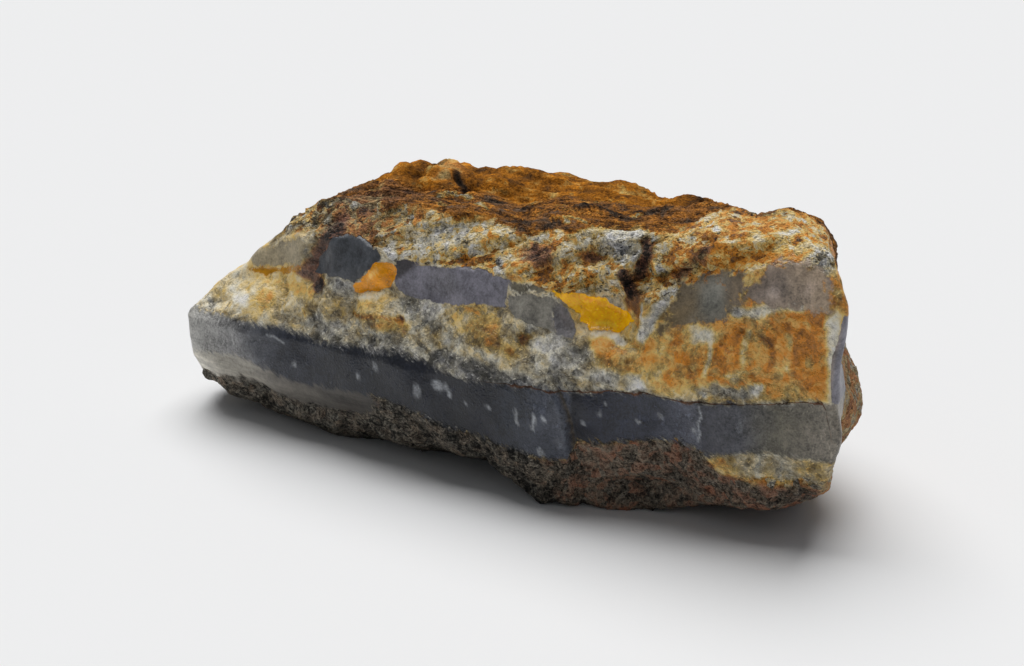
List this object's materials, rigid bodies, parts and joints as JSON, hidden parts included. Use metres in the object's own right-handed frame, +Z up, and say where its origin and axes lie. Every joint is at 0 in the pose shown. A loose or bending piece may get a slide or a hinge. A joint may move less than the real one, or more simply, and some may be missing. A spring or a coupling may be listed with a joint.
{
  "type": "rough chalcedony",
  "caption": "Hand-sized rough chalcedony, a broken piece of banded vein with blue-grey bands, sugary quartz and a rusty crust, to show, hold or cut.",
  "frame": {"origin": "centre of the stone's box in plan, at the surface that it rests on", "axes": "+Z up; +X along the stone's length, from its pointed end to its blunt end; the broken front that shows the bands faces -Y"},
  "size_m": [0.0828, 0.0347, 0.0337],
  "materials": {
    "banded_chalcedony": "rough broken stone: smooth waxy blue-grey bands, milky sugary quartz stained orange, earthy brown and rust-coloured crust"
  },
  "bodies": {
    "root": {"chalcedony_stone": "banded_chalcedony"}
  },
  "joints": []
}
